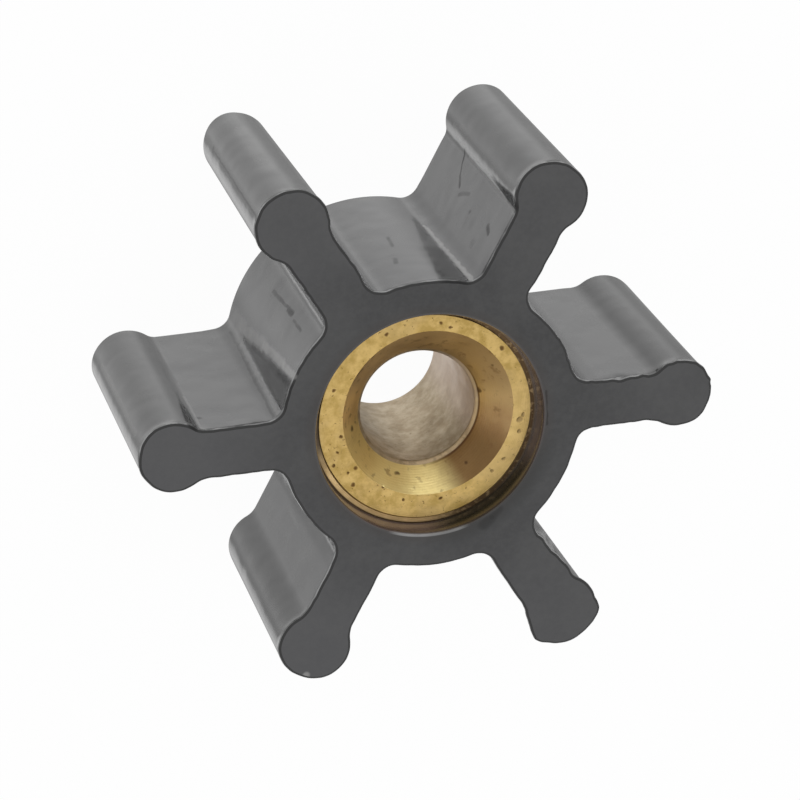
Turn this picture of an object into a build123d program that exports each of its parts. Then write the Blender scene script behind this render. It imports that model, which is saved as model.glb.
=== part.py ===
from build123d import *
from math import radians, tan
import os

# Flexible-vane pump impeller: a rubber wheel with six round-tipped vanes, moulded round a turned
# brass bush. Millimetres. The wheel lies on its back face. The origin is on the bore's axis at
# that face, +Z runs out of the front face, and one vane points along +X.

# Rubber wheel
tip_radius = 20.0          # axis to the outermost point of a vane
wheel_length = 18.3
vane_count = 6
hub_radius = 10.3
vane_thickness = 3.54
bulb_radius = 2.5          # round tip of a vane
neck_radius = 1.7          # hollow blend from the flat of a vane into its tip
root_radius = 1.25         # hollow blend from the hub into a vane
edge_chamfer = 0.12        # all round the outline at both end faces

# Seat of the bush in the rubber
bush_setback = 1.5         # each land of the bush lies this far below the wheel's end face
mouth_draft = 2.0          # degrees, taper of the rubber wall above the bush
lip_chamfer = 0.2

# Brass bush
bush_radius = 7.8
bore_radius = 4.0
bore_rounding = 0.2
countersink_radius = 5.93  # at the mouth
countersink_angle = 82.0   # degrees, across the whole cone
land_radius = 7.38         # raised part of each end face
land_height = 0.2
land_chamfer = 0.12

# Drive slot for a cross pin, milled in the back end of the bush
slot_width = 3.2
slot_length = 12.4         # over its round ends
slot_depth = 3.0           # from the back land
slot_azimuth = 30.0        # degrees, midway between two vanes

# Places that follow from the sizes
bulb_centre = tip_radius - bulb_radius
back_land = bush_setback
front_land = wheel_length - bush_setback
back_rim = back_land + land_height
front_rim = front_land - land_height
mouth_radius = bush_radius + back_rim * tan(radians(mouth_draft))
countersink_depth = (countersink_radius - bore_radius) / tan(radians(countersink_angle / 2))


def from_axis(edge):
    """Distance from the bore's axis to an edge's middle, rounded so that like edges group."""
    middle = edge.center()
    return round((middle.X**2 + middle.Y**2) ** 0.5, 3)


def rings(part, radius):
    """The circular edges of a part that have this radius."""
    circles = part.edges().filter_by(GeomType.CIRCLE)
    return circles.filter_by(lambda edge: abs(edge.radius - radius) < 0.001)


# Rubber wheel: hub, webs and round tips drawn as one outline, then blended and seated
with BuildPart() as vane_wheel:
    with BuildSketch():
        Circle(hub_radius)
        with PolarLocations(0, vane_count):
            Rectangle(bulb_centre, vane_thickness, align=(Align.MIN, Align.CENTER))
        with PolarLocations(bulb_centre, vane_count):
            Circle(bulb_radius)
    extrude(amount=wheel_length)

    # Upright edges group into roots, nearest the axis, and necks
    roots, necks = vane_wheel.edges().filter_by(Axis.Z).group_by(from_axis)
    fillet(roots, root_radius)
    fillet(necks, neck_radius)
    chamfer(vane_wheel.faces().filter_by(Axis.Z).edges(), edge_chamfer)

    # Seat of the bush, opened out by the draft from its rims to the end faces
    with BuildSketch(Plane.XZ):
        with BuildLine():
            Polyline(
                (0, 0),
                (mouth_radius, 0),
                (bush_radius, back_rim),
                (bush_radius, front_rim),
                (mouth_radius, wheel_length),
                (0, wheel_length),
                close=True,
            )
        make_face()
    revolve(axis=Axis.Z, mode=Mode.SUBTRACT)
    chamfer(rings(vane_wheel, mouth_radius), lip_chamfer)
vane_wheel.part.label = "vane_wheel"


# Brass bush: turned from its half section, the same at both ends, then slotted at the back
with BuildPart() as brass_bush:
    with BuildSketch(Plane.XZ):
        with BuildLine():
            Polyline(
                (bore_radius, back_land + countersink_depth),
                (countersink_radius, back_land),
                (land_radius, back_land),
                (land_radius, back_rim),
                (bush_radius, back_rim),
                (bush_radius, front_rim),
                (land_radius, front_rim),
                (land_radius, front_land),
                (countersink_radius, front_land),
                (bore_radius, front_land - countersink_depth),
                close=True,
            )
        make_face()
    revolve(axis=Axis.Z)
    fillet(rings(brass_bush, bore_radius), bore_rounding)
    lands = brass_bush.faces().filter_by(Axis.Z)
    chamfer(rings(lands.sort_by(Axis.Z)[0], land_radius), land_chamfer)
    chamfer(rings(lands.sort_by(Axis.Z)[-1], land_radius), land_chamfer)

    with BuildSketch(Plane.XY.offset(back_land)):
        SlotOverall(slot_length, slot_width, rotation=slot_azimuth)
    extrude(amount=slot_depth, mode=Mode.SUBTRACT)
brass_bush.part.label = "brass_bush"


os.makedirs("parts", exist_ok=True)
export_step(vane_wheel.part, "parts/vane_wheel.step")
export_step(brass_bush.part, "parts/brass_bush.step")
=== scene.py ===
from math import atan2, cos, hypot, pi, radians, sin, sqrt, tan

import bmesh
import bpy
from mathutils import Matrix, Vector, noise


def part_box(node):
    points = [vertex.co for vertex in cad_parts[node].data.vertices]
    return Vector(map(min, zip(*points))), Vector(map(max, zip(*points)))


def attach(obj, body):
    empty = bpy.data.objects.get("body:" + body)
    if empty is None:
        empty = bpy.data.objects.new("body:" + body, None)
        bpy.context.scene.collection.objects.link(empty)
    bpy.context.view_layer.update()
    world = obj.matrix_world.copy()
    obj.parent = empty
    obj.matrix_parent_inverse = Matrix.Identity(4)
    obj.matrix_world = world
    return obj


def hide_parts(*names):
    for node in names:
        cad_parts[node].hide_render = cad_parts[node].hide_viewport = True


MM = 0.001
Z_AXIS = (0, 0, 1)
CENTRE = (0, 0, 0)

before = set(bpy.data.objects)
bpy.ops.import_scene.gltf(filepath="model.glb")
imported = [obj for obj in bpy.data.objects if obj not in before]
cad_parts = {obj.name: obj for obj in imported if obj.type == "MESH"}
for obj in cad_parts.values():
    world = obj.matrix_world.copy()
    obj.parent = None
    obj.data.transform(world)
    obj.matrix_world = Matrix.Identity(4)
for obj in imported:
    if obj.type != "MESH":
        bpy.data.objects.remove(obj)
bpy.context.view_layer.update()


# Sizes of the wheel, from the frame and the part's driving dimensions
TIP_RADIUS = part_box("vane_wheel")[1].x
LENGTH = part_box("vane_wheel")[1].z
HUB_RADIUS = 10.3 * MM
HALF_WEB = 3.54 * MM / 2
BULB_RADIUS = 2.5 * MM
ROOT_RADIUS = 1.25 * MM
BULB_CENTRE = TIP_RADIUS - BULB_RADIUS
VANE_COUNT = 6
SECTOR = 2 * pi / VANE_COUNT
EDGE_ROUNDING = 0.20 * MM

# Sizes of the seat and the bush
BUSH_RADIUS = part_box("brass_bush")[1].x
FRONT_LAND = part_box("brass_bush")[1].z
BACK_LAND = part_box("brass_bush")[0].z
BORE_RADIUS = 4.0 * MM
LAND_RADIUS = 7.38 * MM
LAND_CHAMFER = 0.12 * MM
LAND_HEIGHT = 0.2 * MM
FRONT_RIM = FRONT_LAND - LAND_HEIGHT
BACK_RIM = BACK_LAND + LAND_HEIGHT
MOUTH_DRAFT = radians(2.0)
MOUTH_RADIUS = BUSH_RADIUS + BACK_RIM * tan(MOUTH_DRAFT)
LIP_ROUNDING = 0.2 * MM

# Camera: the photograph's view, from above and to the side of the wheel
CAMERA_AZIMUTH = radians(119.255)
CAMERA_ELEVATION = radians(64.145)
CAMERA_ROLL = radians(145.854)
CAMERA_DISTANCE = 228.213 * MM
CAMERA_AIM = Vector((-2.066, 2.16, 18.3)) * MM
CAMERA_LENS = 154.234
SENSOR_WIDTH = 36.0
CLIP_START = 5 * MM
CLIP_END = 20.0

# Places nearer than this are one: first the ends of a vane's outline, then the points of a mesh
OUTLINE_GAP = 0.001 * MM
POINT_GAP = 0.0001 * MM


def heading(azimuth, elevation=0.0):
    """The unit vector that points out from the axis at an azimuth and an elevation."""
    level = cos(elevation)
    return Vector((level * cos(azimuth), level * sin(azimuth), sin(elevation)))


def new_object(name, data):
    """An object of the scene, at the origin."""
    made = bpy.data.objects.new(name, data)
    bpy.context.scene.collection.objects.link(made)
    return made


def add_camera():
    data = bpy.data.cameras.new("camera")
    data.lens = CAMERA_LENS
    data.sensor_width = SENSOR_WIDTH
    data.clip_start = CLIP_START
    data.clip_end = CLIP_END
    camera = new_object("camera", data)
    back = heading(CAMERA_AZIMUTH, CAMERA_ELEVATION)
    turn = (-back).to_track_quat("-Z", "Y").to_matrix().to_4x4()
    roll = Matrix.Rotation(CAMERA_ROLL, 4, "Z")
    camera.matrix_world = Matrix.Translation(CAMERA_AIM + back * CAMERA_DISTANCE) @ turn @ roll
    bpy.context.scene.camera = camera


# Shaping tools


def arc(bm, vert, centre, turn, steps):
    """Carry a vertex round a centre in the plan, leaving edges behind it."""
    spun = bmesh.ops.spin(bm, geom=[vert], cent=centre, axis=Z_AXIS, angle=turn, steps=steps)
    return next(part for part in spun["geom_last"] if isinstance(part, bmesh.types.BMVert))


def straight(bm, vert, end, steps):
    """Carry a vertex along a line, leaving edges behind it."""
    step = (Vector(end) - vert.co) / steps
    for _ in range(steps):
        vert = bmesh.ops.extrude_vert_indiv(bm, verts=[vert])["verts"][0]
        vert.co += step
    return vert


def smooth_step(value, low, high):
    """Share from 0 to 1 that a value has gone from low to high, eased at both ends."""
    share = min(max((value - low) / (high - low), 0.0), 1.0)
    return share * share * (3 - 2 * share)


def along(value, points):
    """Straight-line value between given points, and none outside them."""
    for (low, start), (high, end) in zip(points, points[1:]):
        if low <= value <= high:
            return start + (end - start) * (value - low) / (high - low)
    return 0.0


def edges_at(bm, height):
    """Open edges of the mesh that lie at one height."""
    return [
        edge
        for edge in bm.edges
        if len(edge.link_faces) <= 1 and all(abs(v.co.z - height) < POINT_GAP for v in edge.verts)
    ]


def finish_mesh(bm, name, material, crease_degrees):
    """Turn a finished bmesh into a piece that lies at the origin."""
    mesh = bpy.data.meshes.new(name)
    bm.to_mesh(mesh)
    bm.free()
    if "custom_normal" in mesh.attributes:
        mesh.attributes.remove(mesh.attributes["custom_normal"])
    for face in mesh.polygons:
        face.use_smooth = True
    mesh.set_sharp_from_angle(angle=radians(crease_degrees))
    mesh.materials.append(material)
    return new_object(name, mesh)


# Rubber wheel


# Hollow between the flat of a vane and its round tip, in mm: leading side, trailing side
NECKS = {
    0: (1.7, 2.2), 60: (1.15, 2.0), 120: (1.7, 1.7),
    180: (2.6, 1.15), 240: (2.0, 1.6), 300: (1.7, 1.7),
}

# Into how many steps each stretch of the outline and of the seat is divided
HUB_STEPS = 12
BLEND_STEPS = 8
WEB_STEPS = 22
BULB_STEPS = 36
SEAT_STEPS = 144


def half_vane(bm, neck_radius):
    """One side of a vane in plan, from midway between two vanes out to the tip."""
    root_x = sqrt((HUB_RADIUS + ROOT_RADIUS) ** 2 - (HALF_WEB + ROOT_RADIUS) ** 2)
    root_y = HALF_WEB + ROOT_RADIUS
    root_at = atan2(root_y, root_x)
    neck_y = HALF_WEB + neck_radius
    neck_x = BULB_CENTRE - sqrt((BULB_RADIUS + neck_radius) ** 2 - neck_y**2)
    neck_at = atan2(neck_y, BULB_CENTRE - neck_x)
    half = SECTOR / 2
    vert = bm.verts.new((HUB_RADIUS * cos(half), -HUB_RADIUS * sin(half), 0))
    vert = arc(bm, vert, CENTRE, half - root_at, HUB_STEPS)
    vert = arc(bm, vert, (root_x, -root_y, 0), root_at - pi / 2, BLEND_STEPS)
    vert = straight(bm, vert, (neck_x, -HALF_WEB, 0), WEB_STEPS)
    vert = arc(bm, vert, (neck_x, -neck_y, 0), neck_at - pi / 2, BLEND_STEPS)
    arc(bm, vert, (BULB_CENTRE, 0, 0), pi - neck_at, BULB_STEPS)


def wheel_outline(bm):
    """The plan of the whole wheel: each vane's two sides, turned to their places."""
    for vane, necks in NECKS.items():
        for side, neck in zip((1, -1), necks):
            done = set(bm.verts)
            half_vane(bm, neck * MM)
            fresh = [vert for vert in bm.verts if vert not in done]
            flip = Matrix.Diagonal((1, -side, 1, 1))
            turn = Matrix.Rotation(radians(vane), 4, "Z")
            bmesh.ops.transform(bm, matrix=turn @ flip, verts=fresh)
    bmesh.ops.remove_doubles(bm, verts=bm.verts[:], dist=OUTLINE_GAP)


# How far each vane stands out of true, in mm: the flat of its web, then its round tip, each on the
# leading and the trailing side, and last the far end of the tip, which fades towards the back
VANES = {
    0: ((-0.09, -0.03), (-0.10, -0.07), -0.20),
    60: ((0.00, 0.16), (0.03, 0.03), -0.08),
    120: ((-0.03, 0.12), (0.03, 0.06), 0.00),
    180: ((-0.03, -0.01), (-0.12, 0.08), -0.12),
    240: ((0.05, -0.09), (0.09, -0.01), -0.14),
    300: ((0.50, 0.10), (0.02, -0.02), 0.00),
}

# How far each side of a vane draws in by the back face, in mm: leading side, trailing side
DRAW = {
    0: (0.12, 0.14), 60: (0.04, 0.14), 120: (0.16, 0.22),
    180: (0.05, 0.05), 240: (0.05, 0.20), 300: (0.15, 0.50),
}

# Where the parts of a vane pass into each other, in mm from the axis: root to flat, flat to round
# tip, and the last stretch to the far end of the tip
FLAT_STARTS = (10.8, 12.2)
TIP_STARTS = (14.6, 16.2)
END_STARTS = (18.6, 20.0)

# Nearer than this to a vane's middle plane, in mm, its moves fade away
MIDDLE = 1.6

# Front edge of the vane at 300 degrees, which is chipped away near the hub and carries flash at
# the tip: distance from the axis, then how far the edge stands out, in mm, on its leading side and
# on its trailing side. Below the edge it fades out over a depth.
FLASH_VANE = 300
FLASH = (
    (
        (11.0, 0.0), (11.5, -0.26), (12.4, -0.38), (13.2, -0.33), (13.7, -0.20), (14.3, -0.14),
        (14.9, 0.0), (15.2, 0.11), (16.2, 0.24), (18.2, 0.15), (19.0, 0.43), (19.7, 0.43),
        (20.0, 0.1),
    ),
    (
        (15.0, 0.0), (15.6, 0.08), (16.1, 0.02), (16.6, -0.12), (17.1, -0.12), (17.7, 0.04),
        (18.2, 0.22), (18.7, 0.17), (19.1, 0.0),
    ),
)
FLASH_DEPTH = 1.2 * MM

# The round tips step in by this much just behind the front edge, in mm, and further on the
# trailing side of the vane that carries the flash. The step lies between the two depths.
TIP_STEP = 0.07
FLASH_STEP = 0.50
STEP_DEPTHS = (0.15 * MM, 0.7 * MM)

# Worn front edges are ragged, most of all on the vane on +X: leading side, trailing side, in mm.
# The raggedness is noise of two sizes, in mm, down to a depth, and its seed keeps it the same in
# every run.
RAGGED = {
    0: (0.13, 0.04), 60: (0.03, 0.03), 120: (0.05, 0.05),
    180: (0.04, 0.03), 240: (0.03, 0.03), 300: (0.03, 0.02),
}
FINE_RAGS = 0.55
COARSE_RAGS = 1.6
RAGGED_DEPTH = 0.6 * MM
RAGGED_SEED = 1795775748

# Between some vanes the hub is a little full: azimuth, and how much, in mm. A swell is this wide to
# each side, with soft ends, and dies out on the roots of the vanes, in mm from the axis.
SWELLS = ((30, 0.08), (330, 0.15))
SWELL_HALF_WIDTH = radians(27)
SWELL_END = radians(9)
SWELL_DIES = (10.9, 12.0)


def side_move(vane, side, out, height):
    """How far one side of a vane stands out of true, in mm. The leading side is 0."""
    web, tip, _ = VANES[vane]
    past_root = smooth_step(out, *FLAT_STARTS)
    in_tip = smooth_step(out, *TIP_STARTS)
    move = web[side] * past_root * (1 - in_tip) + tip[side] * in_tip
    move -= DRAW[vane][side] * past_root * (1 - height / LENGTH)
    step = TIP_STEP
    if vane == FLASH_VANE:
        near_front = smooth_step(height, LENGTH - FLASH_DEPTH, LENGTH)
        move += along(out, FLASH[side]) * near_front
        step = FLASH_STEP if side == 1 else TIP_STEP
    top, bottom = STEP_DEPTHS
    return move - step * in_tip * (1 - smooth_step(height, LENGTH - bottom, LENGTH - top))


def hub_swell(azimuth, radius):
    """How far the hub is swollen between two vanes, in mm."""
    total = 0.0
    for middle, swell in SWELLS:
        apart = abs((azimuth - radians(middle) + pi) % (2 * pi) - pi)
        between = smooth_step(SWELL_HALF_WIDTH - apart, 0, SWELL_END)
        total += swell * between * (1 - smooth_step(radius, *SWELL_DIES))
    return total


def shape_vanes(bm):
    """Give each vane its own moulded shape and front edge, and the hub its swells."""
    noise.seed_set(RAGGED_SEED)
    for vert in bm.verts:
        height = vert.co.z
        x, y, z = vert.co / MM
        azimuth = atan2(y, x)
        vane = round(azimuth / SECTOR) % VANE_COUNT * 60
        to_vane = Matrix.Rotation(-radians(vane), 3, "Z")
        out, across, _ = to_vane @ vert.co / MM
        side = 0 if across > 0 else 1
        move = side_move(vane, side, out, height)
        across += move * (1 - 2 * side) * min(abs(across) / MIDDLE, 1)
        out += VANES[vane][2] * smooth_step(out, *END_STARTS) * height / LENGTH
        place = to_vane.inverted() @ Vector((out, across, z))
        place += heading(azimuth) * hub_swell(azimuth, hypot(x, y))
        rags = noise.noise_vector(Vector((x, y, 7.0)) / FINE_RAGS)
        rags += noise.noise_vector(Vector((x, y, 3.0)) / COARSE_RAGS)
        weight = RAGGED[vane][side] * smooth_step(height, LENGTH - RAGGED_DEPTH, LENGTH)
        place += Vector((rags.x, rags.y, 0)) * weight
        vert.co = place * MM


def keep_in_box(bm):
    """Hold every point inside the box of the solid that this wheel stands for."""
    low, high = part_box("vane_wheel")
    for vert in bm.verts:
        vert.co = Vector(min(max(value, a), b) for value, a, b in zip(vert.co, low, high))


def round_edges(bm):
    """Draw the rings nearest each end face inwards, which rounds the edge there."""
    bmesh.ops.recalc_face_normals(bm, faces=bm.faces[:])
    bm.normal_update()
    outward = 1 if max(bm.verts, key=lambda vert: vert.co.x).normal.x > 0 else -1
    moves = []
    for vert in bm.verts:
        near = max(min(vert.co.z, LENGTH - vert.co.z), 0.0)
        if near < EDGE_ROUNDING:
            inward = EDGE_ROUNDING - sqrt(EDGE_ROUNDING**2 - (EDGE_ROUNDING - near) ** 2)
            normal = Vector((vert.normal.x, vert.normal.y, 0)).normalized()
            moves.append((vert, normal * inward * outward))
    for vert, move in moves:
        vert.co -= move


# Halfway round the lip, which is as far from the end face as from the wall of the seat
LIP_MIDDLE = 0.06 * MM


def seat_wall(bm):
    """The straight hole that holds the bush, opening out to both end faces."""
    lip = MOUTH_RADIUS + LIP_ROUNDING
    middle = MOUTH_RADIUS + LIP_MIDDLE
    profile = (
        (lip, 0), (middle, LIP_MIDDLE), (MOUTH_RADIUS, LIP_ROUNDING),
        (BUSH_RADIUS, BACK_RIM), (BUSH_RADIUS, FRONT_RIM),
        (MOUTH_RADIUS, LENGTH - LIP_ROUNDING), (middle, LENGTH - LIP_MIDDLE), (lip, LENGTH),
    )
    vert = bm.verts.new((profile[0][0], 0, profile[0][1]))
    chain = [vert]
    for radius, height in profile[1:]:
        chain.append(straight(bm, chain[-1], (radius, 0, height), 1))
    edges = [edge for edge in bm.edges if all(v in chain for v in edge.verts)]
    bmesh.ops.spin(
        bm, geom=chain + edges, cent=CENTRE, axis=Z_AXIS, angle=2 * pi, steps=SEAT_STEPS,
        use_merge=True,
    )


# Heights of the rings of the wheel's side, in mm, closest where the front edge is worn
WALL_LEVELS = (
    0.07, 0.2, 0.6, 1.5, 3.0, 5.0, 7.0, 9.0, 11.0, 13.0, 15.0, 16.2, 16.8, 17.3, 17.7, 17.95, 18.1,
    18.22, 18.3,
)


def rubber_wheel(material):
    """The wheel: its outline raised ring by ring, shaped, seated and closed."""
    bm = bmesh.new()
    wheel_outline(bm)
    ring = bm.edges[:]
    height = 0.0
    for level in WALL_LEVELS:
        raised = bmesh.ops.extrude_edge_only(bm, edges=ring)["geom"]
        verts = [part for part in raised if isinstance(part, bmesh.types.BMVert)]
        edges = [part for part in raised if isinstance(part, bmesh.types.BMEdge)]
        upper = set(verts)
        ring = [edge for edge in edges if all(v in upper for v in edge.verts)]
        bmesh.ops.translate(bm, vec=(0, 0, level * MM - height), verts=verts)
        height = level * MM
    shape_vanes(bm)
    round_edges(bm)
    seat_wall(bm)
    for height in (0.0, LENGTH):
        bmesh.ops.triangle_fill(bm, edges=edges_at(bm, height), use_beauty=True)
    bmesh.ops.remove_doubles(bm, verts=bm.verts[:], dist=POINT_GAP)
    keep_in_box(bm)
    bmesh.ops.recalc_face_normals(bm, faces=bm.faces[:])
    wheel = finish_mesh(bm, "rubber_wheel", material, crease_degrees=20)
    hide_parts("vane_wheel")
    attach(wheel, "root")
    return wheel


# Brass bush


# The front countersink starts at this height, above the rounding of the bore, and at its mouth,
# inside this radius, it sits off the axis
CONE_FOOT = 14.64 * MM
CONE_REACH = 6.0 * MM
MOUTH_SHIFT = Vector((0.225, 0.268, 0)) * MM

# The front land keeps a crisper edge on one side: how far it stands out, and where
LAND_EDGE = LAND_RADIUS - LAND_CHAMFER
CRISP_EDGE = 0.10 * MM
CRISP_AZIMUTH = radians(90)
CRISP_FADE = (-0.6, 0.0)

# A point this near the height and the radius of the land's edge is on it
NEAR_HEIGHT = 0.01 * MM
NEAR_RADIUS = 0.02 * MM


def turned_bush(material):
    """The bush as the frame has it, with what its turning left uneven at the front."""
    bm = bmesh.new()
    bm.from_mesh(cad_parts["brass_bush"].data)
    bmesh.ops.remove_doubles(bm, verts=bm.verts[:], dist=POINT_GAP)
    for vert in bm.verts:
        x, y, z = vert.co
        radius = hypot(x, y)
        if z > CONE_FOOT and radius < CONE_REACH:
            vert.co += MOUTH_SHIFT * (z - CONE_FOOT) / (FRONT_LAND - CONE_FOOT)
        elif z > FRONT_LAND - NEAR_HEIGHT and abs(radius - LAND_EDGE) < NEAR_RADIUS:
            share = smooth_step(cos(atan2(y, x) - CRISP_AZIMUTH), *CRISP_FADE)
            vert.co += Vector((x, y, 0)) / radius * CRISP_EDGE * share
    bush = finish_mesh(bm, "turned_bush", material, crease_degrees=30)
    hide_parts("brass_bush")
    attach(bush, "root")
    return bush


# Materials


class Nodes:
    """Short calls for building the node tree of a material or of the world."""

    def __init__(self, owner):
        owner.use_nodes = True
        self.tree = owner.node_tree
        self.tree.nodes.clear()

    def add(self, kind, inputs=(), **settings):
        """A new node, with its inputs given as values or as sockets to link."""
        node = self.tree.nodes.new("ShaderNode" + kind)
        for name, value in settings.items():
            setattr(node, name, value)
        for socket, value in inputs:
            if isinstance(value, bpy.types.NodeSocket):
                self.tree.links.new(value, node.inputs[socket])
            else:
                node.inputs[socket].default_value = value
        return node

    def math(self, operation, first, second=0.0):
        node = self.add("Math", ((0, first), (1, second)), operation=operation)
        return node.outputs[0]

    def times(self, first, second):
        return self.math("MULTIPLY", first, second)

    def vector(self, operation, *values):
        node = self.add("VectorMath", tuple(enumerate(values)), operation=operation)
        return node.outputs["Vector"]

    def scaled(self, vector, factor):
        node = self.add("VectorMath", ((0, vector), ("Scale", factor)), operation="SCALE")
        return node.outputs["Vector"]

    def dot(self, first, second):
        node = self.add("VectorMath", ((0, first), (1, second)), operation="DOT_PRODUCT")
        return node.outputs["Value"]

    def length(self, vector):
        return self.add("VectorMath", ((0, vector),), operation="LENGTH").outputs["Value"]

    def distance(self, first, second):
        node = self.add("VectorMath", ((0, first), (1, second)), operation="DISTANCE")
        return node.outputs["Value"]

    def spread(self, value, low, high, start=0.0, end=1.0):
        """A value carried smoothly from one range to another."""
        node = self.add(
            "MapRange", ((0, value), (1, low), (2, high), (3, start), (4, end)),
            interpolation_type="SMOOTHSTEP",
        )
        return node.outputs[0]

    def band(self, value, low_start, low_end, high_start, high_end):
        """Share that rises over the first two values and falls again over the last two."""
        return self.times(
            self.spread(value, low_start, low_end), self.spread(value, high_end, high_start)
        )

    def mix(self, share, first, second):
        """One colour passing into another."""
        node = self.add("Mix", ((0, share), (6, first), (7, second)), data_type="RGBA")
        return node.outputs[2]

    def blend(self, share, first, second):
        """One value passing into another."""
        node = self.add("Mix", ((0, share), (2, first), (3, second)), data_type="FLOAT")
        return node.outputs[0]

    def higher(self, first, second):
        """The greater of two values, of which the first may be missing."""
        return second if first is None else self.math("MAXIMUM", first, second)

    def noise(self, place, scale, detail=2.0, rough=0.5):
        inputs = (("Vector", place), ("Scale", scale), ("Detail", detail), ("Roughness", rough))
        return self.add("TexNoise", inputs).outputs[0]

    def bump(self, height, distance):
        return self.add("Bump", (("Height", height), ("Distance", distance))).outputs[0]

    def upright(self):
        """How far the surface faces up or down: 1 on an end face, 0 on an upright side."""
        normal = self.add("NewGeometry").outputs["True Normal"]
        facing = self.add("SeparateXYZ", ((0, normal),)).outputs[2]
        return self.math("ABSOLUTE", facing)

    def round_axis(self, place):
        """The place flat in the plan, its distance from the axis, and its height."""
        spot = self.add("SeparateXYZ", ((0, place),))
        flat = self.add("CombineXYZ", ((0, spot.outputs[0]), (1, spot.outputs[1]))).outputs[0]
        return flat, self.length(flat), spot.outputs[2]

    def toward(self, way, azimuth, low, high):
        """Share that grows to one side of the axis: -1 is the far side, 1 is that azimuth."""
        return self.spread(self.dot(way, heading(radians(azimuth))), low, high)

    def nudge(self, place, scale, reach):
        """The place moved about by noise, so that what is drawn there gets an uneven outline."""
        wander = self.add("TexNoise", (("Vector", place), ("Scale", scale), ("Detail", 1.0)))
        offset = self.vector("SUBTRACT", wander.outputs["Color"], (0.5, 0.5, 0.5))
        return self.vector("ADD", place, self.scaled(offset, reach))

    def line_gap(self, place, start, end):
        """How far a place is from a short straight line, squared."""
        length = (end - start).length
        way = (end - start) / length
        reach = self.distance(place, start)
        ahead = self.math("SUBTRACT", self.dot(place, way), start.dot(way))
        within = self.add("Clamp", ((0, ahead), (1, 0.0), (2, length))).outputs[0]
        beyond = self.math("SUBTRACT", ahead, within)
        square = self.math("SUBTRACT", self.times(reach, reach), self.times(ahead, ahead))
        return self.math("ADD", square, self.times(beyond, beyond))

    def point_gap(self, place, point):
        """How far a place is from a point, squared."""
        reach = self.distance(place, point)
        return self.times(reach, reach)

    def marks(self, place, marks):
        """Where any of a list of marks shows: start, end, half width in mm, strength."""
        total = None
        for start, end, width, strength in marks:
            gap = self.line_gap(place, start, end) if end else self.point_gap(place, start)
            core, rim = width * MARK_CORE * MM, width * MARK_RIM * MM
            total = self.higher(total, self.spread(gap, core**2, rim**2, strength, 0.0))
        return total

    def carried(self, place, back, gap):
        """The place moved back onto a surface, and how near to it the place was."""
        landed = self.vector("SUBTRACT", place, self.scaled(back, gap))
        return landed, self.spread(self.math("ABSOLUTE", gap), *MARK_LAYER, 1.0, 0.0)

    def onto_plane(self, place, normal, distance):
        """The place carried straight onto a plane, and how near it was to begin with."""
        gap = self.math("SUBTRACT", self.dot(place, normal), distance)
        return self.carried(place, normal, gap)

    def onto_round(self, place, centre, radius):
        """The place carried onto an upright cylinder, and how near it was to begin with."""
        flat = self.vector("MULTIPLY", self.vector("SUBTRACT", place, centre), (1, 1, 0))
        gap = self.math("SUBTRACT", self.length(flat), radius)
        return self.carried(place, self.vector("NORMALIZE", flat), gap)


def new_material(name):
    material = bpy.data.materials.new(name)
    return material, Nodes(material)


def grey(level, blue=0.0):
    return (level, level, level * (1 + blue), 1)


# A mark is at full strength out to the first share of its half width and gone at the second. It
# shows on what lies this near its surface, fading between the two distances.
MARK_CORE = 0.2
MARK_RIM = 1.6
MARK_LAYER = (0.6 * MM, 0.9 * MM)
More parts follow.
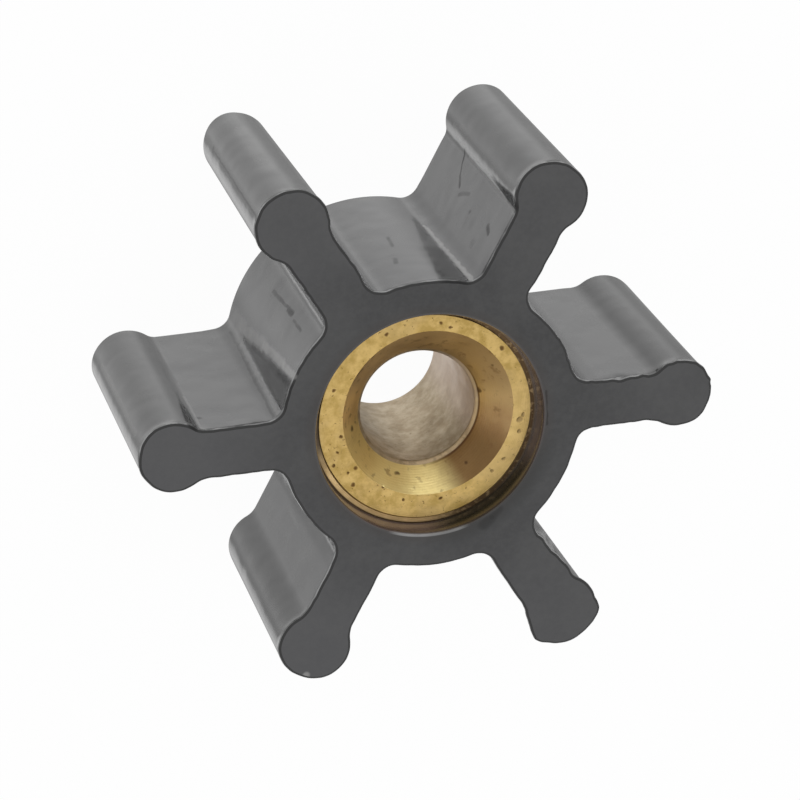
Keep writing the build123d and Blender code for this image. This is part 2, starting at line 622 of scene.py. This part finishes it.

# Marks on the rubber, with painted shade and painted highlights drawn in the same way: the dark
# wedges and lines in the hollows at the roots and necks of the vanes are painted shade, and the pale
# lines and bands beside them and on the round tips are painted highlights. Each list goes with one
# surface: the flat side of a vane (1 leads, -1 trails), a vane's round tip, the hub or the front face.
# A mark runs from one place to another, or is a round spot where it has no second place. Then come
# its half width in mm and its strength. A place is, on a vane's side, the distance from the axis and
# the height in mm; on a tip or the hub, the angle in degrees and the height; on the front face, the
# azimuth and the radius.
DARK_MARKS_AND_SHADE = {
    ("web", 60, 1): (
        ((15.8, 5.2), (15.0, 5.7), 0.11, 0.9), ((15.0, 5.7), (14.3, 6.4), 0.09, 0.85),
        ((14.3, 6.4), (13.7, 7.3), 0.11, 0.85), ((13.3, 7.9), (13.9, 9.5), 0.13, 0.55),
        ((13.4, 15.1), (13.1, 15.8), 0.17, 0.8), ((13.1, 11.1), None, 0.15, 0.6),
        ((11.7, 14.1), None, 0.32, 0.3), ((12.6, 12.4), None, 0.4, 0.2),
        # painted shade: the dark wedge in the hollow of the neck, widening towards the front
        ((16.2, 12.6), (16.1, 14.3), 0.11, 0.8), ((16.1, 14.3), (16.0, 16.2), 0.22, 0.9),
        ((16.0, 16.2), (15.95, 17.9), 0.34, 0.9),
    ),
    ("web", 180, -1): (
        ((15.3, 16.0), None, 0.17, 0.9),
        # painted shade: a dark line along the root, then the dark wedge in the hollow of the neck
        ((10.3, 2.0), (10.4, 7.9), 0.06, 0.35), ((10.4, 7.9), (10.6, 17.8), 0.07, 0.4),
        ((15.65, 3.0), (15.5, 9.4), 0.06, 0.3), ((15.9, 11.4), (16.1, 13.9), 0.07, 0.45),
        ((16.1, 13.9), (16.2, 16.3), 0.16, 0.6), ((16.2, 16.3), (16.1, 18.1), 0.24, 0.7),
    ),
    ("tip", 120): (((38, 3.4), (38, 17.9), 0.07, 0.55), ((37, 3.3), None, 0.2, 0.6)),
    ("tip", 60): (((33, 18.0), (17, 18.0), 0.16, 0.7),),
    ("hub",): (
        ((140.6, 6.7), (139.9, 8.9), 0.14, 0.6), ((139.9, 8.6), (139.1, 10.7), 0.10, 0.7),
        ((139.4, 10.9), (139.0, 12.0), 0.20, 0.8), ((140.2, 12.8), (140.0, 15.0), 0.10, 0.6),
        ((91.5, 9.0), (92.0, 10.8), 0.12, 0.65), ((94.6, 13.2), (95.2, 14.0), 0.14, 0.6),
        # painted shade: the dark wedges on the hub at the roots of the vanes at 180 and 60 degrees
        ((163.7, 4.5), (165.6, 13.4), 0.06, 0.4), ((165.6, 13.4), (166.1, 17.8), 0.09, 0.65),
        ((162.4, 7.6), (158.9, 12.6), 0.22, 0.6), ((158.9, 12.6), (156.4, 17.9), 0.32, 0.7),
        ((161.5, 12.0), (160.5, 18.3), 0.8, 0.35), ((77.8, 12.0), (78.4, 18.3), 0.8, 0.6),
    ),
    ("front",): (
        ((294, 8.5), (303, 8.1), 0.35, 0.35), ((299, 8.3), None, 0.2, 0.5),
        ((10, 8.17), (353, 8.1), 0.07, 0.5),
    ),
}

PALE_MARKS_AND_HIGHLIGHTS = {
    ("web", 60, 1): (
        # painted highlights along the edge of the neck and at the root of the vane
        ((15.72, 6.5), (15.6, 17.9), 0.09, 0.32), ((16.0, 7.0), (16.15, 12.0), 0.2, 0.3),
        ((10.0, 6.5), (10.22, 18.0), 0.10, 0.7),
    ),
    ("web", 180, -1): (
        # painted highlights along the edge of the neck and at the root of the vane
        ((15.5, 12.0), (15.5, 18.0), 0.08, 0.25), ((10.1, 5.0), (10.3, 17.8), 0.09, 0.30),
    ),
    ("web", 240, -1): (((12.5, 6.0), (12.6, 9.5), 0.14, 0.14),),
    # painted highlights: pale bands on the round tips
    ("tip", 180): (((-28, 3.0), (-29, 16.0), 0.2, 0.17),),
    ("tip", 120): (((-24, 4.0), (-22, 13.0), 0.5, 0.10),),
    ("tip", 60): (
        ((115, 2.4), (124, 6.0), 0.3, 0.35), ((106, 4.0), (112, 12.0), 0.35, 0.12),
        ((112, 12.0), (108, 17.4), 0.4, 0.17),
    ),
    ("hub",): (
        # painted highlights: pale lines and a band on the hub beside the roots of the vanes
        ((131.4, 5.5), (130.9, 17.3), 0.10, 0.28), ((164.0, 0.5), (162.3, 4.8), 0.6, 0.35),
        ((162.3, 4.8), (157.2, 10.0), 0.42, 0.40), ((157.2, 10.0), (154.0, 15.2), 0.30, 0.55),
        ((154.0, 15.2), (152.6, 18.0), 0.24, 0.65),
    ),
    ("front",): (((241.3, 19.6), None, 0.22, 0.8),),
}


def on_surface(kind, angle, side, first, second):
    """A mark's place in the scene."""
    turn = Matrix.Rotation(radians(angle), 3, "Z")
    if kind == "web":
        return turn @ Vector((first * MM, side * HALF_WEB, second * MM))
    if kind == "front":
        return heading(radians(first)) * second * MM + Vector((0, 0, LENGTH))
    radius = BULB_RADIUS if kind == "tip" else HUB_RADIUS
    centre = BULB_CENTRE if kind == "tip" else 0
    around = heading(radians(first)) * radius + Vector((0, 0, second * MM))
    return turn @ (Vector((centre, 0, 0)) + around)


def marked(n, place, lists, ground):
    """Where the marks of all surfaces show, each list on the end face or on the sides only."""
    sideways = n.math("SUBTRACT", 1.0, ground)
    total = None
    for surface, marks in lists.items():
        kind, angle, side = (surface + (0, 0))[:3]
        turn = Matrix.Rotation(radians(angle), 3, "Z")
        if kind == "web":
            carried, near = n.onto_plane(place, turn @ Vector((0, side, 0)), HALF_WEB)
        elif kind == "front":
            carried, near = n.onto_plane(place, Vector(Z_AXIS), LENGTH)
        elif kind == "tip":
            carried, near = n.onto_round(place, turn @ Vector((BULB_CENTRE, 0, 0)), BULB_RADIUS)
        else:
            carried, near = n.onto_round(place, CENTRE, HUB_RADIUS)
        placed = []
        for start, end, width, strength in marks:
            first = on_surface(kind, angle, side, *start)
            last = on_surface(kind, angle, side, *end) if end else None
            placed.append((first, last, width, strength))
        near = n.times(near, ground if kind == "front" else sideways)
        total = n.higher(total, n.times(n.marks(carried, placed), near))
    return total


# Painted light: the end faces of the rubber are painted paler to this side
PAINTED_LIGHT_WAY = (-0.85, -0.5, 0)

# Colours on the rubber: scuffs and painted highlights, and what the bush has left on the end face, in
# its mouth and on the lip
SCUFF_AND_HIGHLIGHT = (0.32, 0.317, 0.31, 1)
BROWNED_FACE = (0.038, 0.030, 0.025, 1)
FACE_STAIN = (0.014, 0.0145, 0.014, 1)
THIN_FILM = (0.060, 0.048, 0.045, 1)
PALE_FILM = (0.135, 0.108, 0.100, 1)
RUSTY_FILM = (0.14, 0.100, 0.088, 1)
DARK_FILM = (0.030, 0.026, 0.017, 1)
DULL_LIP = (0.045, 0.032, 0.029, 1)


def rubber():
    """Glossy moulded sides, matt ground end faces with painted shading, edges with a painted shade
    line and a painted highlight, the marks of use, and painted shade and highlights in the hollows of
    the vanes and on the lip.
    """
    material, n = new_material("black_rubber")
    place = n.add("TexCoord").outputs["Object"]
    upright = n.upright()
    ground = n.spread(upright, 0.95, 0.99)
    flat_place, radius, height = n.round_axis(place)
    coarse = n.noise(place, 260.0, 3.0)
    fine = n.noise(place, 2600.0, 3.0, 0.6)

    # Ground end faces: painted shading, darkest round the bush and paler towards the vane tips and to
    # one side
    outward = n.spread(radius, 8.5 * MM, 16.5 * MM)
    painted_light_side = n.spread(n.dot(flat_place, PAINTED_LIGHT_WAY), -14 * MM, 18 * MM)
    inner = n.mix(painted_light_side, grey(0.028, 0.04), grey(0.040, 0.05))
    outer = n.mix(painted_light_side, grey(0.050, 0.04), grey(0.065, 0.06))
    face_shade = n.mix(outward, inner, outer)
    face_shade = n.mix(n.spread(coarse, 0.35, 0.65, 0.0, 0.3), face_shade, grey(0.078))
    face_shade = n.mix(n.spread(fine, 0.3, 0.7, 0.0, 0.16), face_shade, grey(0.10))

    # Moulded sides
    web = n.mix(n.spread(coarse, 0.35, 0.65), grey(0.060, 0.02), grey(0.078, 0.0))
    tip = n.mix(n.spread(coarse, 0.35, 0.65), grey(0.048, 0.0), grey(0.060, -0.01))
    side_shade = n.mix(n.spread(radius, 15.2 * MM, 16.2 * MM), web, tip)
    shade = n.mix(ground, side_shade, face_shade)

    # The rounded edge: a painted shade line towards the end face, and a painted highlight, broken up
    # by noise, towards the side
    outer_edge = n.spread(radius, 8.4 * MM, 8.6 * MM)
    upper = n.times(n.spread(upright, 0.80, 0.88), n.math("SUBTRACT", 1.0, ground))
    upper = n.times(upper, outer_edge)
    lower = n.times(n.band(upright, 0.20, 0.33, 0.48, 0.60), outer_edge)
    edge_highlight = n.times(lower, n.spread(n.noise(place, 900.0, 2.0), 0.35, 0.62, 0.25, 1.0))
    shade = n.mix(upper, shade, grey(0.012))
    shade = n.mix(edge_highlight, shade, grey(0.30))

    # Marks, painted shade and painted highlights, with their outlines made uneven
    uneven = n.nudge(place, 1300.0, 0.22 * MM)
    patchy = n.spread(n.noise(place, 1100.0, 2.0), 0.30, 0.60, 0.75, 1.0)
    stains_and_shade = n.times(marked(n, uneven, DARK_MARKS_AND_SHADE, ground), patchy)
    shade = n.mix(stains_and_shade, shade, grey(0.014))
    shade = n.mix(n.times(marked(n, uneven, PALE_MARKS_AND_HIGHLIGHTS, ground), patchy), shade, SCUFF_AND_HIGHLIGHT)

    # Round the bush: a stained, browner stretch of the end face, a film in the mouth, dull at the
    # lip, and a painted highlight on one stretch of the lip
    way = n.vector("NORMALIZE", flat_place)
    shade = n.mix(n.spread(radius, 8.9 * MM, 8.0 * MM, 0.0, 0.45), shade, BROWNED_FACE)
    stain = n.times(
        n.toward(way, 308, 0.72, 0.95), n.spread(radius, 9.5 * MM, 8.3 * MM, 0.0, 0.6)
    )
    shade = n.mix(stain, shade, FACE_STAIN)
    mouth = n.times(n.spread(radius, 8.02 * MM, 7.92 * MM), n.spread(ground, 0.6, 0.3))
    film = n.mix(n.toward(way, 20, 0.2, 0.85), THIN_FILM, PALE_FILM)
    film = n.mix(n.toward(way, 252, 0.78, 0.97), film, RUSTY_FILM)
    film = n.mix(n.toward(way, 302, 0.80, 0.96), film, DARK_FILM)
    dull = n.spread(height, LENGTH - 0.7 * MM, LENGTH - 0.2 * MM, 0.0, 0.6)
    film = n.mix(dull, film, DULL_LIP)
    shade = n.mix(n.times(mouth, 0.92), shade, film)
    # painted highlight on one stretch of the rounded lip
    lip = n.band(radius, 7.86 * MM, 7.94 * MM, 8.04 * MM, 8.12 * MM)
    lip = n.times(lip, n.toward(way, 267, 0.93, 0.97))
    shade = n.mix(n.times(lip, n.spread(coarse, 0.35, 0.6, 0.5, 0.9)), shade, grey(0.32))

    # Rougher where it is ground and on the edge, and less glossy in the marks
    rough = n.blend(ground, 0.15, 0.40)
    rough = n.blend(upper, rough, 0.5)
    gloss = n.math("SUBTRACT", 0.5, n.times(stains_and_shade, 0.45))
    ripple = n.times(n.noise(place, 420.0, 1.0), n.math("SUBTRACT", 1.0, ground))
    grain = n.math("ADD", ripple, n.times(fine, 0.06))
    shader = n.add(
        "BsdfPrincipled",
        (
            ("Base Color", shade), ("Roughness", rough), ("IOR", 1.58),
            ("Specular IOR Level", gloss), ("Normal", n.bump(grain, 0.05 * MM)),
        ),
    )
    n.add("OutputMaterial", ((0, shader.outputs[0]),))
    return material


# Pits in the front land of the bush: azimuth, radius and half width in mm. All are drawn wider by
# the same factor, at one strength.
PITS = (
    (156, 6.8, 0.10), (186, 5.9, 0.10), (195, 6.4, 0.08), (202, 7.0, 0.09), (211, 6.4, 0.07),
    (211, 5.8, 0.12), (219, 6.7, 0.11), (236, 5.6, 0.10), (253, 6.1, 0.08), (278, 6.1, 0.09),
    (351, 6.7, 0.16), (354, 6.9, 0.10), (344, 6.8, 0.10), (1, 6.1, 0.07), (38, 7.0, 0.12),
    (79, 6.8, 0.10), (73, 6.6, 0.09), (111, 6.8, 0.11), (315, 6.4, 0.09), (325, 6.6, 0.10),
)
PIT_SCALE = 1.1
PIT_STRENGTH = 0.9

# Specks on the front countersink: azimuth, radius, height and half width in mm, drawn in the same
# way
SPECKS = (
    (10, 4.3, 15.0, 0.14), (27, 5.7, 16.5, 0.10), (31, 5.6, 16.4, 0.12), (20, 5.7, 16.5, 0.10),
    (247, 4.8, 15.5, 0.14), (186, 5.0, 15.7, 0.16), (273, 5.1, 15.8, 0.10),
    (306, 5.1, 15.8, 0.10),
)
SPECK_SCALE = 1.2
SPECK_STRENGTH = 0.8

# From one turning mark of the bush to the next
TURNING_PITCH = 0.12 * MM

# Colours of the lands
SANDY_GOLD = (0.55, 0.37, 0.108, 1)
PALE_GOLD = (0.79, 0.555, 0.205, 1)
CHALKY_GOLD = (0.70, 0.51, 0.225, 1)
BROWN_FLECK = (0.26, 0.15, 0.05, 1)
PIT_BROWN = (0.11, 0.045, 0.012, 1)
RUBBED_GOLD = (0.91, 0.66, 0.285, 1)

# Colours of the countersinks, and the painted light and shade on stretches of the cone: azimuth,
# how far round the colour starts and is full, and the colour
OLIVE = (0.62, 0.43, 0.20, 1)
OLIVE_GOLD = (0.70, 0.52, 0.22, 1)
CONE_LIGHT_AND_SHADE = (
    (178, 0.84, 0.98, (0.88, 0.61, 0.25, 1)),
    (222, 0.62, 0.92, (0.92, 0.72, 0.29, 1)),
    (37, 0.84, 0.98, (0.47, 0.32, 0.15, 1)),
)
REDDISH = (0.41, 0.235, 0.11, 1)
DARK_BROWN = (0.27, 0.16, 0.064, 1)
# painted highlight colour for the bottom of the countersink
PAINTED_HIGHLIGHT_GOLD = (1.0, 0.84, 0.38, 1)
CONE_FLECK = (0.22, 0.12, 0.05, 1)
SPECK_BROWN = (0.08, 0.04, 0.02, 1)

# Colours of the bore, with the painted highlight on its lip
BORE_BEIGE = (0.40, 0.31, 0.195, 1)
BORE_PALE = (0.54, 0.45, 0.315, 1)
BORE_BLOTCH = (0.24, 0.17, 0.09, 1)
BORE_PINK = (0.78, 0.64, 0.54, 1)
BORE_LIP_HIGHLIGHT = (0.80, 0.65, 0.44, 1)
BORE_EDGE_BROWN = (0.10, 0.05, 0.03, 1)

# Colours of the rim: bare brass painted brighter as a highlight, and the film of old rubber with its
# flecks of brass
BARE_RIM_HIGHLIGHT = (0.98, 0.70, 0.35, 1)
BARE_RIM_HIGHLIGHT_DULL = (0.74, 0.52, 0.25, 1)
RIM_FILM = (0.16, 0.10, 0.05, 1)
RIM_FLECK = (0.42, 0.29, 0.15, 1)
GREY_FILM = (0.16, 0.12, 0.08, 1)
OUTER_FILM = (0.10, 0.065, 0.035, 1)
OUTER_FILM_PALE = (0.22, 0.17, 0.13, 1)


def ring_place(azimuth, radius, height):
    """A place on the bush, from its azimuth, its radius and its height in mm."""
    return (heading(radians(azimuth)) * radius + Vector((0, 0, height))) * MM


def brass():
    """Turned brass: sandy pitted lands, brown stained countersinks with painted light, shade and
    highlight, a dull bore with a painted highlight on its lip, and a filmy rim with a painted
    highlight where it is bare.
    """
    material, n = new_material("turned_brass")
    place = n.add("TexCoord").outputs["Object"]
    flat_place, radius, _ = n.round_axis(place)
    coarse = n.noise(place, 500.0, 3.0)
    medium = n.noise(place, 1400.0, 3.0, 0.6)
    fine = n.noise(place, 4200.0, 3.0, 0.65)
    uneven = n.nudge(place, 1900.0, 0.30 * MM)

    # Lands: sandy gold, mottled, with small dark pits, and rubbed to one side
    land = n.mix(n.spread(medium, 0.3, 0.7), SANDY_GOLD, PALE_GOLD)
    land = n.mix(n.spread(coarse, 0.50, 0.70, 0.0, 0.45), land, CHALKY_GOLD)
    land = n.mix(n.spread(fine, 0.62, 0.72), land, BROWN_FLECK)
    pits = n.marks(
        uneven,
        [
            (ring_place(azimuth, out, FRONT_LAND / MM), None, width * PIT_SCALE, PIT_STRENGTH)
            for azimuth, out, width in PITS
        ],
    )
    land = n.mix(pits, land, PIT_BROWN)
    way = n.vector("NORMALIZE", flat_place)
    land = n.mix(n.times(n.toward(way, 338, 0.70, 0.95), 0.4), land, RUBBED_GOLD)

    # Countersinks: olive gold with painted light and shade, brighter at two azimuths and browner at
    # one, reddish low on one side, and a painted highlight below
    cone = n.mix(n.toward(way, 270, -0.2, 0.95), OLIVE, OLIVE_GOLD)
    for azimuth, low, high, colour in CONE_LIGHT_AND_SHADE:
        cone = n.mix(n.toward(way, azimuth, low, high), cone, colour)
    red = n.times(n.toward(way, 322, 0.66, 0.98), n.spread(coarse, 0.30, 0.70, 0.7, 1.0))
    cone = n.mix(red, cone, REDDISH)
    cone = n.mix(n.toward(way, 306, 0.72, 0.98), cone, DARK_BROWN)
    # painted highlight low on the countersink, broken up by noise
    weight = n.times(n.toward(way, 257, 0.72, 0.985), n.spread(medium, 0.3, 0.7, 0.8, 1.0))
    cone = n.mix(weight, cone, PAINTED_HIGHLIGHT_GOLD)
    cone = n.mix(n.spread(medium, 0.56, 0.72, 0.0, 0.5), cone, CONE_FLECK)
    specks = n.marks(
        uneven,
        [
            (ring_place(azimuth, out, up), None, width * SPECK_SCALE, SPECK_STRENGTH)
            for azimuth, out, up, width in SPECKS
        ],
    )
    cone = n.mix(specks, cone, SPECK_BROWN)

    # Bore: dull grey-beige with blotches
    bore = n.mix(n.spread(medium, 0.30, 0.70), BORE_BEIGE, BORE_PALE)
    bore = n.mix(n.spread(fine, 0.60, 0.72, 0.0, 0.5), bore, BORE_BLOTCH)
    bore = n.mix(n.times(n.toward(way, 15, 0.5, 0.98), 0.7), bore, BORE_PINK)

    # Rim outside the lands: bare brass with a painted highlight where it is uncovered, else under a
    # brown film of old rubber that is flecked with brass
    flecks = n.spread(n.noise(place, 2300.0, 2.0, 0.6), 0.50, 0.66)
    bare_rim_highlight = n.mix(n.spread(coarse, 0.40, 0.62), BARE_RIM_HIGHLIGHT, BARE_RIM_HIGHLIGHT_DULL)
    filmed = n.mix(flecks, RIM_FILM, RIM_FLECK)
    inner_rim = n.mix(n.toward(way, 40, -0.72, -0.35), bare_rim_highlight, filmed)
    inner_rim = n.mix(n.toward(way, 165, 0.75, 0.93), inner_rim, GREY_FILM)
    outer_rim = n.mix(n.toward(way, 20, 0.1, 0.8), OUTER_FILM, OUTER_FILM_PALE)
    rim = n.mix(n.spread(radius, 7.64 * MM, 7.74 * MM), inner_rim, outer_rim)

    # Which of them shows where, with a painted highlight on the rounded lip of the bore and a dark
    # brown line where the bore meets the cone
    in_bore = n.spread(radius, BORE_RADIUS + 0.26 * MM, BORE_RADIUS + 0.20 * MM)
    on_land = n.higher(n.spread(n.upright(), 0.85, 0.95), n.spread(radius, 6.6 * MM, 6.8 * MM))
    on_rim = n.spread(radius, LAND_RADIUS - 0.08 * MM, LAND_RADIUS + 0.02 * MM)
    shade = n.mix(in_bore, cone, bore)
    shade = n.mix(on_land, shade, land)
    shade = n.mix(on_rim, shade, rim)
    # painted highlight on the rounded lip of the bore
    bore_lip_highlight = n.times(n.spread(radius, BORE_RADIUS + 0.02 * MM, BORE_RADIUS + 0.08 * MM), in_bore)
    bore_lip_highlight = n.times(bore_lip_highlight, n.toward(way, 320, -0.2, 0.5))
    bore_lip_highlight = n.times(bore_lip_highlight, n.spread(medium, 0.35, 0.60, 0.15, 0.8))
    shade = n.mix(bore_lip_highlight, shade, BORE_LIP_HIGHLIGHT)
    bore_edge_line = n.band(radius, 4.20 * MM, 4.25 * MM, 4.28 * MM, 4.36 * MM)
    bore_edge_line = n.times(bore_edge_line, n.times(n.toward(way, 335, 0.3, 0.9), 0.8))
    shade = n.mix(bore_edge_line, shade, BORE_EDGE_BROWN)

    # Rougher on the lands and in the bore, with fine turning marks and the pits
    rough = n.blend(on_land, 0.36, 0.42)
    rough = n.blend(in_bore, rough, 0.45)
    rough = n.math("ADD", rough, n.spread(coarse, 0.3, 0.7, -0.05, 0.08))
    turned = n.math("SINE", n.times(radius, 2 * pi / TURNING_PITCH))
    rings = n.times(turned, 0.06)
    relief = n.math("ADD", rings, n.math("ADD", medium, n.times(pits, -2.0)))
    shader = n.add(
        "BsdfPrincipled",
        (
            ("Base Color", shade), ("Metallic", 0.87), ("Roughness", rough),
            ("Normal", n.bump(relief, 0.02 * MM)),
        ),
    )
    n.add("OutputMaterial", ((0, shader.outputs[0]),))
    return material


# Surroundings


FLOOR_HALF_SIZE = 1.5
FLOOR_WHITE = 0.9

# How much of the floor's shade the camera sees as plain white
FLOOR_GLOW = 0.97


def add_floor():
    """Pale floor: white to the camera with the object's shadow, open to the room for reflections."""
    bm = bmesh.new()
    bmesh.ops.create_grid(bm, x_segments=1, y_segments=1, size=FLOOR_HALF_SIZE)
    mesh = bpy.data.meshes.new("floor")
    bm.to_mesh(mesh)
    bm.free()
    floor = new_object("floor", mesh)
    material, n = new_material("white_floor")
    path = n.add("LightPath")
    plain = n.add("BsdfDiffuse", (("Color", grey(FLOOR_WHITE)),))
    glow = n.add("Emission")
    seen = n.times(path.outputs["Is Camera Ray"], FLOOR_GLOW)
    lit = n.add("MixShader", ((0, seen), (1, plain.outputs[0]), (2, glow.outputs[0])))
    clear = n.add("BsdfTransparent")
    reflected = path.outputs["Is Glossy Ray"]
    whole = n.add("MixShader", ((0, reflected), (1, lit.outputs[0]), (2, clear.outputs[0])))
    n.add("OutputMaterial", ((0, whole.outputs[0]),))
    mesh.materials.append(material)


# How bright the room looks below the horizon, by azimuth in degrees. The colour ramp that holds
# these levels goes no higher than 1, so there they are shares of the brightest.
LOWER_ROOM = (
    (0, 0.60), (25, 0.78), (50, 1.42), (80, 1.45), (120, 1.25), (150, 1.20), (185, 1.25),
    (205, 0.75), (217, 0.65), (222, 1.25), (250, 1.25), (270, 0.75), (285, 0.45), (300, 0.38),
    (320, 0.42), (340, 0.52),
)
BRIGHTEST = 2.0

# Soft patches of the room just above the horizon: azimuth, elevation, half width in degrees, and
# how much brighter
ROOM_PATCHES = ((75, 18, 20, 1.6), (150, 16, 24, -0.3))


def add_room():
    """Soft white room. Below the horizon only reflections see it, and it is duller on the far side."""
    world = bpy.data.worlds.new("soft_room")
    n = Nodes(world)
    direction = n.add("TexCoord").outputs["Generated"]
    way = n.add("SeparateXYZ", ((0, direction),))
    azimuth = n.math("ARCTAN2", way.outputs[1], way.outputs[0])
    turn = n.math("FRACT", n.math("ADD", n.math("DIVIDE", azimuth, 2 * pi), 1.0))
    ramp = n.add("ValToRGB", ((0, turn),))
    stops = ramp.color_ramp.elements
    for number, (degrees, level) in enumerate(LOWER_ROOM):
        stop = stops[number] if number < 2 else stops.new(degrees / 360)
        stop.position = degrees / 360
        stop.color = grey(level / BRIGHTEST)
    lower = n.times(ramp.outputs[0], BRIGHTEST)
    upper = 1.0
    for degrees, elevation, width, more in ROOM_PATCHES:
        centre = heading(radians(degrees), radians(elevation))
        near = n.spread(n.dot(direction, centre), cos(radians(width)), 1.0, 0.0, more)
        upper = n.math("ADD", near, upper)
    above = n.spread(way.outputs[2], -0.1, 0.0)
    sky = n.add("Background", ((1, n.blend(above, lower, upper)),))
    n.add("OutputWorld", ((0, sky.outputs[0]),))
    bpy.context.scene.world = world


bpy.context.scene.view_settings.view_transform = "Standard"
add_camera()
add_room()
add_floor()
rubber_wheel(rubber())
turned_bush(brass())
